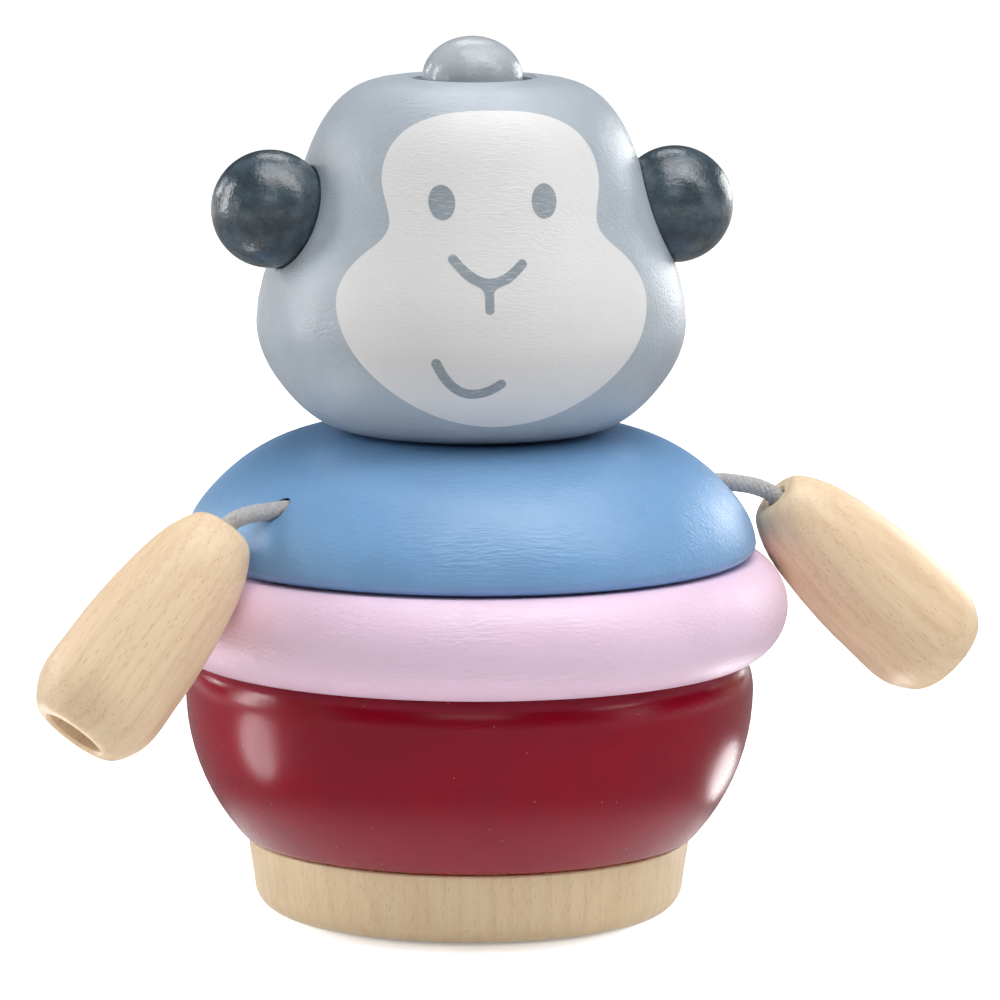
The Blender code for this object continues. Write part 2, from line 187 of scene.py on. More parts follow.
def placed(name: str, data: bpy.types.ID) -> Object:
    """Puts an object in the scene.

    Args:
        name: The object's name.
        data: Its mesh, lamp or camera.

    Returns:
        The object, at the origin.
    """
    made = bpy.data.objects.new(name, data)
    bpy.context.scene.collection.objects.link(made)
    return made


class Shape:
    """Makes meshes out of lines of points, and pieces out of meshes."""

    @staticmethod
    def turned(line: list[Vector], steps: int = TURN_STEPS, closed: bool = False) -> Form:
        """Spins a line of (radius, height) points about +Z.

        Args:
            line: The points, in metres.
            steps: Steps in a full turn.
            closed: True for a ring-shaped section, False for one that ends on the axis.

        Returns:
            The body of revolution.
        """
        shape = bmesh.new()
        verts = [shape.verts.new((point.x, 0.0, point.y)) for point in line]
        ends = verts + verts[:1] if closed else verts
        edges = [shape.edges.new(pair) for pair in pairwise(ends)]
        bmesh.ops.spin(
            shape,
            geom=verts + edges,
            cent=(0.0, 0.0, 0.0),
            axis=UP,
            angle=math.tau,
            steps=steps,
            use_merge=True,
        )
        bmesh.ops.remove_doubles(shape, verts=shape.verts, dist=SAME_PLACE)
        bmesh.ops.recalc_face_normals(shape, faces=shape.faces)
        return shape

    @staticmethod
    def mesh_of(shape: Form, name: str) -> Mesh:
        """Makes a mesh of a shape.

        Args:
            shape: The shape, which is freed.
            name: The mesh's name.

        Returns:
            The mesh.
        """
        mesh = bpy.data.meshes.new(name)
        shape.to_mesh(mesh)
        shape.free()
        return mesh

    @staticmethod
    def piece(name: str, form: Form | Mesh, material: Material) -> Object:
        """Makes an object that wears one material, smooth between its sharp edges.

        Args:
            name: The object's name.
            form: Its mesh, or a shape, which is freed.
            material: Its material.

        Returns:
            The object, at the origin.
        """
        mesh = Shape.mesh_of(form, name) if isinstance(form, Form) else form
        mesh.shade_smooth()
        mesh.set_sharp_from_angle(angle=SHARP_ANGLE)
        mesh.materials.clear()
        mesh.materials.append(material)
        return placed(name, mesh)

    @staticmethod
    def cut(body: Form, cutters: list[Form], name: str) -> Mesh:
        """Cuts shapes out of a body.

        Args:
            body: The body, which is freed.
            cutters: The shapes to cut out, which are freed.
            name: The new mesh's name.

        Returns:
            What is left of the body.
        """
        whole = placed(name, Shape.mesh_of(body, name))
        tools = [placed(f"{name}_cutter", Shape.mesh_of(cutter, name)) for cutter in cutters]
        for tool in tools:
            step = whole.modifiers.new("cut", "BOOLEAN")
            step.operation, step.solver, step.object = "DIFFERENCE", "EXACT", tool
        graph = bpy.context.evaluated_depsgraph_get()
        mesh = bpy.data.meshes.new_from_object(whole.evaluated_get(graph))
        mesh.name = name
        for spare in (whole, *tools):
            bpy.data.objects.remove(spare, do_unlink=True)
        return mesh


class Tree:
    """Adds and joins the nodes of one material or one group."""

    def __init__(self, tree: bpy.types.NodeTree) -> None:
        """Starts with an existing node tree."""
        self.tree = tree

    def feed(self, socket: Socket, value: object) -> None:
        """Gives a socket its value.

        Args:
            socket: The socket.
            value: Another socket to join it to, or a plain value.
        """
        if isinstance(value, Socket):
            self.tree.links.new(value, socket)
        else:
            socket.default_value = value

    def add(self, kind: str, inputs: dict | None = None, **settings: object) -> bpy.types.Node:
        """Adds a node.

        Args:
            kind: The node's type, without ShaderNode.
            inputs: Sockets by name or number, each with a value or a socket to join.
            settings: The node's own settings.

        Returns:
            The new node.
        """
        node = self.tree.nodes.new(f"ShaderNode{kind}")
        for name, value in settings.items():
            setattr(node, name, value)
        for key, value in (inputs or {}).items():
            self.feed(node.inputs[key], value)
        return node

    def math(self, operation: str, *values: object) -> Socket:
        """The result of a Math node on up to three values or sockets."""
        return self.add("Math", dict(enumerate(values)), operation=operation).outputs[0]

    def vector(self, operation: str, *values: object) -> Socket:
        """The vector result of a Vector Math node."""
        return self.add("VectorMath", dict(enumerate(values)), operation=operation).outputs[0]

    def noise(self, vector: Socket, scale: object, detail: float, rough: float = 0.5) -> Socket:
        """The value of a Noise Texture."""
        inputs = {"Vector": vector, "Scale": scale, "Detail": detail, "Roughness": rough}
        return self.add("TexNoise", inputs).outputs[0]

    def ramp(
        self, value: object, low: float, high: float, to_low: object = 0.0, to_high: object = 1.0
    ) -> Socket:
        """A value carried smoothly from the range low to high, to the range to_low to to_high."""
        inputs = {0: value, 1: low, 2: high, 3: to_low, 4: to_high}
        return self.add("MapRange", inputs, interpolation_type="SMOOTHSTEP").outputs[0]

    def away_from(self, place: Socket, ahead: float, reach: tuple[float, float]) -> Socket:
        """Tells what is near a point on the floor.

        Args:
            place: The place that is asked about, turned so that the camera stands at -Y.
            ahead: How far in front of the peg the point is.
            reach: The distances up to which a place is near, and from which it is away.

        Returns:
            0 near the point and 1 away from it.
        """
        inputs = {0: place, 1: (0.0, -ahead * MM, 0.0)}
        away = self.add("VectorMath", inputs, operation="DISTANCE").outputs["Value"]
        return self.ramp(away, reach[0] * MM, reach[1] * MM)

    def mix(self, share: Socket, first: object, second: object) -> Socket:
        """A colour between two colours."""
        inputs = {0: share, 6: first, 7: second}
        return self.add("Mix", inputs, data_type="RGBA").outputs[2]


class Surface(Tree):
    """The nodes of one material, around its Principled shader."""

    def __init__(self, name: str, roughness: float, specular: float) -> None:
        """Starts a material whose shader has its plain values.

        Args:
            name: The material's name.
            roughness: The roughness where nothing feeds it.
            specular: The specular level, where 0.5 is an ordinary varnish.
        """
        self.material = bpy.data.materials.new(name)
        self.material.use_nodes = True
        super().__init__(self.material.node_tree)
        self.shader = self.tree.nodes["Principled BSDF"].inputs
        self.shader["Roughness"].default_value = roughness
        self.shader["Specular IOR Level"].default_value = specular

    def place(self) -> Socket:
        """The place on the piece, in Object coordinates."""
        return self.add("TexCoord").outputs["Object"]

    def finished(self, height: Socket, depth: float, strength: float = 1.0) -> Material:
        """Roughens the surface, last of all.

        Args:
            height: The relief.
            depth: How deep a relief of 1 goes.
            strength: The share of it that shows.

        Returns:
            The material.
        """
        bump = self.add("Bump", {"Strength": strength, "Distance": depth * MM, "Height": height})
        self.feed(self.shader["Normal"], bump.outputs[0])
        return self.material


def rgba(colour: Colour) -> tuple[float, float, float, float]:
    """A colour with full alpha."""
    return (*colour, 1.0)


class Effect:
    """The shader node groups that the finishes share, each built once.

    The numbers of a noise are its scale, in features to a metre, its detail and its roughness, and
    those of a ramp are the range it starts from and the range it leads to.
    """

    made: dict[str, bpy.types.NodeTree] = {}

    @classmethod
    def start(cls, name: str, inputs: dict[str, float | None], *outputs: str) -> tuple:
        """Starts a node group on a Vector.

        Args:
            name: The group's name.
            inputs: Its other inputs, each with its usual value, or None for a colour.
            outputs: Its outputs: Color, and others that are numbers.

        Returns:
            The tree helper, what the group is given, and what it has to feed.
        """
        tree = cls.made[name] = bpy.data.node_groups.new(name, "ShaderNodeTree")
        tree.interface.new_socket("Vector", in_out="INPUT", socket_type="NodeSocketVector")
        for label, value in inputs.items():
            kind = "NodeSocketColor" if value is None else "NodeSocketFloat"
            socket = tree.interface.new_socket(label, in_out="INPUT", socket_type=kind)
            if value is not None:
                socket.default_value = value
        for label in outputs:
            kind = "NodeSocketColor" if label == "Color" else "NodeSocketFloat"
            tree.interface.new_socket(label, in_out="OUTPUT", socket_type=kind)
        source, result = (tree.nodes.new(f"NodeGroup{end}") for end in ("Input", "Output"))
        return Tree(tree), source.outputs, result.inputs

    @classmethod
    def use(cls, nodes: Tree, name: str, **inputs: object) -> bpy.types.NodeOutputs:
        """Places a group in a tree.

        Args:
            nodes: The tree.
            name: The group's name. It is built the first time.
            inputs: The group's inputs, each with a value or a socket to join.

        Returns:
            What the group puts out.
        """
        if name not in cls.made:
            getattr(cls, f"build_{name}")()
        return nodes.add("Group", inputs, node_tree=cls.made[name]).outputs

    @classmethod
    def build_raised_grain(cls) -> None:
        """Wood fibres that stand up under paint: short ripples along X, specks on the end grain."""
        nodes, given, result = cls.start("raised_grain", {"Fineness": 1600.0}, "Height")
        spot, fineness = given["Vector"], given["Fineness"]
        along = nodes.vector("MULTIPLY", spot, (0.2, 1.0, 1.0))
        drift = nodes.noise(spot, 90.0, 1.0)
        lift = nodes.add("CombineXYZ", {0: 0.0, 1: drift, 2: drift}).outputs[0]
        bent = nodes.vector("MULTIPLY_ADD", lift, (0.0, 0.0015, 0.0015), along)
        coarse = nodes.noise(bent, fineness, 2.0)
        fine = nodes.noise(bent, nodes.math("MULTIPLY", fineness, 2.3), 1.0)
        both = nodes.math("MULTIPLY_ADD", fine, 0.45, coarse)
        patches = nodes.ramp(nodes.noise(spot, 70.0, 1.0), 0.35, 0.65, 0.45, 1.0)
        nodes.feed(result["Height"], nodes.math("MULTIPLY", both, patches))

    @classmethod
    def build_orange_peel(cls) -> None:
        """The pebbled skin of sprayed paint, with a little sag between the pebbles."""
        nodes, given, result = cls.start("orange_peel", {}, "Height")
        pebbles = nodes.noise(given["Vector"], 1400.0, 2.0, 0.55)
        sag = nodes.noise(given["Vector"], 224.0, 1.0)
        nodes.feed(result["Height"], nodes.math("MULTIPLY_ADD", sag, 1.6, pebbles))

    @classmethod
    def build_clouds(cls) -> None:
        """Soft uneven cover of paint or stain."""
        nodes, given, result = cls.start("clouds", {"Size": 0.012}, "Mask")
        scale = nodes.math("DIVIDE", 1.0, given["Size"])
        cloud = nodes.noise(given["Vector"], scale, 3.0, 0.6)
        nodes.feed(result["Mask"], nodes.ramp(cloud, 0.3, 0.7))

    @classmethod
    def build_dust(cls) -> None:
        """Sparse pale specks of dust, about 3 mm apart."""
        nodes, given, result = cls.start("dust", {"Spacing": 0.003, "Speck": 0.06}, "Mask")
        scale = nodes.math("DIVIDE", 1.0, given["Spacing"])
        cells = nodes.add("TexVoronoi", {"Vector": given["Vector"], "Scale": scale})
        near = nodes.math("LESS_THAN", cells.outputs["Distance"], given["Speck"])
        nodes.feed(result["Mask"], near)

    @classmethod
    def build_missed_streaks(cls) -> None:
        """Fine level streaks that a thin coat of paint missed."""
        nodes, given, result = cls.start("missed_streaks", {}, "Mask")
        level = nodes.vector("MULTIPLY", given["Vector"], (0.1, 0.3, 1.0))
        nodes.feed(result["Mask"], nodes.ramp(nodes.noise(level, 5000.0, 2.0), 0.5, 0.8))

    @classmethod
    def build_bare_wood(cls) -> None:
        """Pale hardwood with its grain along Z: growth lines, fibres and short dark flecks."""
        colours = {"Pale": None, "Deep": None, "Fleck": None}
        values = {"Spacing": 0.0024, "Flecks": 0.6}
        nodes, given, result = cls.start("bare_wood", colours | values, "Color", "Height")
        spot = given["Vector"]
        slow, wide, flat, drawn = (
            nodes.vector("MULTIPLY", spot, (1.0, 1.0, along)) for along in (0.09, 0.35, 0.12, 0.17)
        )
        pith = nodes.vector("ADD", flat, (0.021, 0.034, 0.0))
        away = nodes.add("VectorMath", {0: pith}, operation="LENGTH").outputs["Value"]
        shifted = nodes.math("MULTIPLY_ADD", nodes.noise(wide, 60.0, 2.0), 0.006, away)
        saw = nodes.math("FRACT", nodes.math("DIVIDE", shifted, given["Spacing"]))
        late, early = nodes.ramp(saw, 0.55, 0.97), nodes.ramp(saw, 0.97, 1.0, 1.0, 0.0)
        ring = nodes.math("MULTIPLY", late, early)
        fibre, streak = nodes.noise(slow, 2600.0, 3.0, 0.6), nodes.noise(slow, 420.0, 2.0)
        body = nodes.math("MULTIPLY_ADD", ring, 0.12, nodes.math("MULTIPLY", streak, 0.6))
        share = nodes.ramp(nodes.math("MULTIPLY_ADD", fibre, 0.5, body), 0.34, 0.9)
        colour = nodes.mix(share, given["Pale"], given["Deep"])
        dashes = nodes.add("TexVoronoi", {"Vector": drawn, "Scale": 2400.0}).outputs
        short = nodes.ramp(dashes["Distance"], 0.14, 0.36, 1.0, 0.0)
        picked = nodes.add("SeparateColor", {0: dashes["Color"]}).outputs[0]
        fleck = nodes.math("MULTIPLY", short, nodes.ramp(picked, 0.2, 0.95))
        amount = nodes.math("MULTIPLY", fleck, given["Flecks"])
        nodes.feed(result["Color"], nodes.mix(amount, colour, given["Fleck"]))
        nodes.feed(result["Height"], nodes.math("MULTIPLY_ADD", fleck, -0.8, fibre))


@dataclass(frozen=True)
class Paint:
    """A painted wooden surface. The size of its clouds is in metres."""

    name: str
    slot: Slot
    colour: Colour
    roughness: float
    specular: float = 0.5
    grain: float = 0.0
    grain_fineness: float = 1600.0
    peel: float = 0.0
    uneven: float = 0.1
    cloud_size: float = 0.012
    dust: float = 0.0
    missed: float = 0.0
    smoothest: float = 0.9
    roughest: float = 1.12

    def cover(self, nodes: Surface, spot: Socket, clouds: Socket) -> Socket:
        """The colour of the paint with what lies on it and shows through it.

        Args:
            nodes: The material's nodes.
            spot: The place on the piece.
            clouds: Where the paint is thick, from 0 to 1.

        Returns:
            The colour.
        """
        thin = tuple(min(1.0, c * (1 + self.uneven)) for c in self.colour)
        thick = tuple(c * (1 - self.uneven) for c in self.colour)
        colour = nodes.mix(clouds, rgba(thin), rgba(thick))
        spoils = (("dust", self.dust, DUST_GREY), ("missed_streaks", self.missed, GROUND_GREY))
        for name, amount, grey in spoils:
            if amount:
                mask = Effect.use(nodes, name, Vector=spot)[0]
                colour = nodes.mix(nodes.math("MULTIPLY", mask, amount), colour, grey)
        return colour

    def material(self) -> Material:
        """Mixes the paint.

        Returns:
            The material, on Object coordinates.
        """
        nodes = Surface(self.name, self.roughness, self.specular)
        spot = nodes.place()
        clouds = Effect.use(nodes, "clouds", Vector=spot, Size=self.cloud_size)[0]
        nodes.feed(nodes.shader["Base Color"], self.cover(nodes, spot, clouds))
        low, high = self.roughness * self.smoothest, self.roughness * self.roughest
        nodes.feed(nodes.shader["Roughness"], nodes.ramp(clouds, 0.0, 1.0, low, high))
        grain = Effect.use(nodes, "raised_grain", Vector=spot, Fineness=self.grain_fineness)[0]
        peel = Effect.use(nodes, "orange_peel", Vector=spot)[0]
        ripples = nodes.math("MULTIPLY", grain, self.grain)
        return nodes.finished(nodes.math("MULTIPLY_ADD", peel, self.peel, ripples), 1.0)


@dataclass(frozen=True)
class BareWood:
    """Bare turned wood under a thin clear coat. Its growth lines' spacing is in metres.

    The turn brings the piece's grain axis to Z, and the shift, in metres, tells where in the plank
    it was cut.
    """

    name: str
    pale: Colour
    deep: Colour
    fleck: Colour
    flecks: float = 0.6
    ring_spacing: float = 0.0024
    roughness: float = 0.42
    specular: float = 0.4
    relief: float = 0.012
    turn: Matrix | None = None
    shift: Vector | None = None
    slot: Slot = Slot.WOOD

    def material(self) -> Material:
        """Cuts the wood for a piece.

        Returns:
            The material, on Object coordinates.
        """
        nodes = Surface(self.name, self.roughness, self.specular)
        angles = (self.turn or Matrix.Identity(3)).to_euler()
        shift = self.shift or Vector()
        mapping = {"Vector": nodes.place(), "Rotation": angles, "Location": shift}
        wood = Effect.use(
            nodes,
            "bare_wood",
            Vector=nodes.add("Mapping", mapping).outputs[0],
            Pale=rgba(self.pale),
            Deep=rgba(self.deep),
            Fleck=rgba(self.fleck),
            Spacing=self.ring_spacing,
            Flecks=self.flecks,
        )
        nodes.feed(nodes.shader["Base Color"], wood["Color"])
        return nodes.finished(wood["Height"], self.relief)


@dataclass(frozen=True)
class Yarn:
    """Grey braided yarn, whose fibres follow each strand."""

    name: str = "braided_yarn"
    pale: Colour = (0.56, 0.55, 0.55)
    dark: Colour = (0.32, 0.315, 0.32)
    roughness: float = 0.75
    specular: float = 0.3
    sheen: float = 0.3
    sheen_roughness: float = 0.5
    relief: float = 0.06
    slot: Slot = Slot.CORD

    def material(self) -> Material:
        """Spins the yarn.

        Returns:
            The material, on the strands' own straightened places.
        """
        nodes = Surface(self.name, self.roughness, self.specular)
        nodes.feed(nodes.shader["Sheen Weight"], self.sheen)
        nodes.feed(nodes.shader["Sheen Roughness"], self.sheen_roughness)
        place = nodes.add("Attribute", attribute_name=Braid.PLACE).outputs["Vector"]
        drawn = nodes.vector("MULTIPLY", place, (0.12, 1.0, 1.0))
        fibres, lumps = nodes.noise(drawn, 9000.0, 2.0, 0.6), nodes.noise(place, 900.0, 2.0)
        tone = nodes.math("MULTIPLY_ADD", fibres, 0.6, nodes.math("MULTIPLY", lumps, 0.4))
        colour = nodes.mix(nodes.ramp(tone, 0.3, 0.62), rgba(self.dark), rgba(self.pale))
        nodes.feed(nodes.shader["Base Color"], colour)
        return nodes.finished(tone, self.relief, strength=0.8)


AnyFinish = Paint | BareWood | Yarn


class Finish:
    """Every finish of the game."""

    BASE = BareWood(
        "base_wood", (0.97, 0.79, 0.52), (0.87, 0.65, 0.4), (0.6, 0.38, 0.2), 0.4, 0.0031
    )
    ARM = BareWood("arm_wood", (0.91, 0.71, 0.48), (0.79, 0.56, 0.36), (0.6, 0.33, 0.15), 0.55)
    DOWEL = BareWood("dowel_wood", (0.7, 0.52, 0.35), (0.58, 0.4, 0.25), (0.42, 0.25, 0.13))
    PEG = Paint("grey_gloss", Slot.GREY, (0.43, 0.465, 0.5), 0.22, peel=0.08, uneven=0.04)
    BOWL = Paint(
        "maroon_gloss", Slot.MAROON, (0.29, 0.001, 0.016), 0.23, specular=0.4,
        grain=0.035, uneven=0.06, dust=0.12,
    )
    RING = Paint("pink_satin", Slot.PINK, (0.91, 0.67, 0.84), 0.34, grain=0.24, uneven=0.015)
    SHOULDERS = Paint("blue_satin", Slot.BLUE, (0.195, 0.39, 0.67), 0.34, grain=0.21, uneven=0.04)
    HEAD = Paint(
        "pale_blue_satin", Slot.PALE_BLUE, (0.43, 0.485, 0.54), 0.31, grain=0.2, uneven=0.05
    )
    EAR = Paint(
        "slate_gloss", Slot.SLATE, (0.055, 0.08, 0.1), 0.22, specular=0.7, peel=0.1,
        uneven=0.35, cloud_size=0.004,
    )
    MASK = Paint(
        "off_white_satin", Slot.PALE_BLUE, (0.775, 0.772, 0.77), 0.4, grain=0.11,
        grain_fineness=2600.0, peel=0.015, uneven=0.01,
    )
    FEATURES = Paint(
        "grey_line_satin", Slot.PALE_BLUE, (0.29, 0.335, 0.375), 0.4, grain=0.08,
        grain_fineness=2600.0, uneven=0.06, missed=0.45,
    )
    YARN = Yarn()


def dress(name: str, form: Form | Mesh, finish: AnyFinish, body: str, *nodes: str) -> Object:
    """Builds a piece in its finish and puts it on a body.

    Args:
        name: The piece's name.
        form: Its shape or mesh, in place.
        finish: Its finish.
        body: The CAD body that it rides on.
        nodes: The CAD nodes that it stands for.

    Returns:
        The piece.
    """
    piece = Shape.piece(name, form, finish.material())
    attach(piece, body)
    if nodes:
        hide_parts(*nodes)
    LOG.info("%s rides on %s", name, body)
    return piece


@dataclass
class Pedestal:
    """The bare wooden base disc and the painted peg glued into it."""

    radius: float = 38.0
    flare: float = 1.1
    height: float = 12.5
    foot_round: float = 4.0
    top_round: float = 0.6
    peg_radius: float = 8.6
    peg_tip: float = 7.3
    peg_edge: float = 0.6

    def __post_init__(self) -> None:
        """Reads from the peg's solid where it starts and ends."""
        self.peg_foot, self.peg_top = (corner.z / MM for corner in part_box("peg"))

    def disc(self) -> None:
        """Builds the base disc with its blind hole."""
        foot, hole = self.radius - self.flare, self.peg_radius + GLUE_GAP
        floor = self.peg_foot - GLUE_GAP
        lean = 90.0 - math.degrees(math.atan2(self.flare, self.height))
        line = traced(
            (0.0, 0.0),
            (foot - self.foot_round, 0.0, 0.0),
            (foot, self.foot_round, lean),
            (self.radius, self.height - self.top_round, lean),
            (self.radius - self.top_round, self.height, 180.0),
            (hole + EDGE, self.height),
            (hole, self.height - EDGE),
            (hole, floor),
            (0.0, floor),
        )
        dress("base_wood_disc", Shape.turned(line), Finish.BASE, "base", "base_disc")

    def peg(self) -> None:
        """Builds the round-tipped peg."""
        line = traced(
            (0.0, self.peg_foot),
            (self.peg_radius - self.peg_edge, self.peg_foot),
            (self.peg_radius, self.peg_foot + self.peg_edge),
            (self.peg_radius, self.peg_top - self.peg_tip, 90.0),
            (0.0, self.peg_top, 180.0),
        )
        dress("painted_peg", Shape.turned(line), Finish.PEG, "base", "peg")

    def build(self) -> None:
        """Builds the base and the peg."""
        self.disc()
        self.peg()


@dataclass
class StackedPiece:
    """A turned piece with the peg's bore through it."""

    name: str
    finish: Paint
    stations: tuple[Station, ...] = ()
    bore: float = 10.5

    def __post_init__(self) -> None:
        """Traces the outline, and reads from the solid how high the piece stands."""
        self.line, self.level = traced(*self.stations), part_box(self.name)[0].z

    def ring_at(self, height: float) -> tuple[float, float]:
        """Measures the outer surface.

        Args:
            height: Height above the piece's foot, in metres.

        Returns:
            The radius there, and how far the normal tilts up from level, in radians.
        """
        for low, high in pairwise(self.line):
            if low.y <= height < high.y:
                share = (height - low.y) / (high.y - low.y)
                slope = math.atan2(low.x - high.x, high.y - low.y)
                return low.x + share * (high.x - low.x), slope
        raise ValueError(f"{self.name} isn't {height:.4f} m high")

    def shape(self) -> Form:
        """Turns the section, with both edges of the bore broken.

        Returns:
            The body, at its level.
        """
        low, high = self.line[0].y, self.line[-1].y
        bore, edge = self.bore * MM, EDGE * MM
        inner = [Vector((bore, low + edge)), Vector((bore + edge, low))]
        outer = [Vector((bore + edge, high)), Vector((bore, high - edge))]
        if (self.line[-1] - outer[0]).length < SAME_PLACE:
            outer.pop(0)
        section = [point + Vector((0.0, self.level)) for point in inner + self.line + outer]
        return Shape.turned(section, closed=True)

    def cutters(self) -> list[Form]:
        """The shapes that are cut out of the body."""
        return []

    def build(self) -> None:
        """Builds the piece in its paint, in place of its solid."""
        form, cutters = self.shape(), self.cutters()
        if cutters:
            form = Shape.cut(form, cutters, self.name)
        dress(f"painted_{self.name}", form, self.finish, self.name, self.name)


@dataclass
class Bowl(StackedPiece):
    """The dark red bowl, which stands on the base."""

    name: str = "bowl"
    finish: Paint = Finish.BOWL
    stations: tuple[Station, ...] = (
        (38.3, 0.0, 0.0), (40.2, 1.5, 50.0), (48.8, 25.2, 90.0),
        (46.0, 31.1, 160.0),
    )


@dataclass
class Ring(StackedPiece):
    """The pink ring, whose rim is an arc."""

    name: str = "ring"
    finish: Paint = Finish.RING
    radius: float = 54.6
    half: float = 8.45
    rim: float = 9.3

    def __post_init__(self) -> None:
        """Works out the rim's arc."""
        reach = math.sqrt(self.rim**2 - self.half**2)
        edge, heading = self.radius - self.rim + reach, math.degrees(math.atan2(reach, self.half))
        self.stations = (
            (edge, 0.0, heading),
            (self.radius, self.half, 90.0),
            (edge, 2 * self.half, 180.0 - heading),
        )
        super().__post_init__()


@dataclass
class Shoulders(StackedPiece):
    """The blue dome, with the cord's bore through it. Its two exits are in metres."""

    name: str = "shoulders"
    finish: Paint = Finish.SHOULDERS
    stations: tuple[Station, ...] = (
        (46.6, 0.0, 0.0), (49.0, 2.3, 96.0), (42.8, 12.6, 135.0),
        (22.5, 21.3, 180.0),
    )
    exits: tuple[Vector, ...] = ()
    cord_bore: float = 1.9
    overshoot: float = 12.0

    def cutters(self) -> list[Form]:
        """Makes the bar that cuts the cord's bore.

        Returns:
            The bar alone, which runs through both exits.
        """
        left, right = self.exits
        reach = (right - left).length / 2 + self.overshoot * MM
        bar, radius = bmesh.new(), self.cord_bore * MM
        bmesh.ops.create_cone(
            bar, cap_ends=True, segments=BORE_STEPS, radius1=radius, radius2=radius, depth=2 * reach
        )
        turn = (right - left).normalized().to_track_quat("Z", "Y").to_matrix().to_4x4()
        matrix = Matrix.Translation((left + right) / 2) @ turn
        bmesh.ops.transform(bar, matrix=matrix, verts=bar.verts)
        return [bar]


@dataclass
class Ear:
    """A ball, cut flat below, in a round seat on the head's side."""

    side: Side
    sink: float
    radius: float = 10.0
    height: float = 37.1
    flat: float = 5.8
    forward: float = 7.0
    face_turn: float = 5.0

    def ball(self, head: StackedPiece, gap: float = 0.0) -> Form:
        """Makes the ball, or what cuts its seat.

        Args:
            head: The head that it sits on.
            gap: How much larger than the ball it is, all round.

        Returns:
            The ball, in place.
        """
        radius, flat = self.radius + gap, self.flat + gap
        line = traced(
            (0.0, -flat),
            (math.sqrt(radius**2 - flat**2), -flat, 90.0 - math.degrees(math.asin(flat / radius))),
            (radius, 0.0, 90.0),
            (0.0, radius, 180.0),
        )
        ball = Shape.turned(line, BALL_STEPS)
        reach, slope = head.ring_at(self.height * MM)
        sign = self.side.sign
        around = Matrix.Rotation(math.radians(self.face_turn - sign * self.forward), 4, "Z")
        spot = Matrix.Translation((sign * reach, 0.0, head.level + self.height * MM))
        tilt = Matrix.Rotation(sign * (math.pi / 2 - slope), 4, "Y")
        stand = Matrix.Translation((0.0, 0.0, (self.flat + GLUE_GAP - self.sink) * MM))
        bmesh.ops.transform(ball, matrix=around @ spot @ tilt @ stand, verts=ball.verts)
        return ball

    def build(self, head: StackedPiece) -> None:
        """Builds the ear.

        Args:
            head: The head that it sits on.
        """
        side = self.side.value
        dress(f"painted_ear_{side}", self.ball(head), Finish.EAR, "head", f"ear_{side}")


@dataclass
class Head(StackedPiece):
    """The pale blue head, with its ears and its face. The ears sink into it by different depths."""

    name: str = "head"
    finish: Paint = Finish.HEAD
    stations: tuple[Station, ...] = (
        (20.0, 0.0, 0.0), (33.7, 9.4, 56.0), (36.7, 18.5, 90.0),
        (31.7, 36.6, 109.0), (27.9, 47.3, 110.0), (18.2, 59.0, 160.0),
        (11.0, 60.1, 175.0),
    )
    sinks: tuple[float, float] = (1.5, 2.7)

    def ears(self) -> list[Ear]:
        """The two ears."""
        return [Ear(side, sink) for side, sink in zip(Side, self.sinks)]

    def cutters(self) -> list[Form]:
        """What cuts the ears' seats."""
        return [ear.ball(self, GLUE_GAP) for ear in self.ears()]

    def build(self) -> None:
        """Builds the head, then the ears and the face on it."""
        super().build()
        for ear in self.ears():
            ear.build(self)
        Face(self).build()


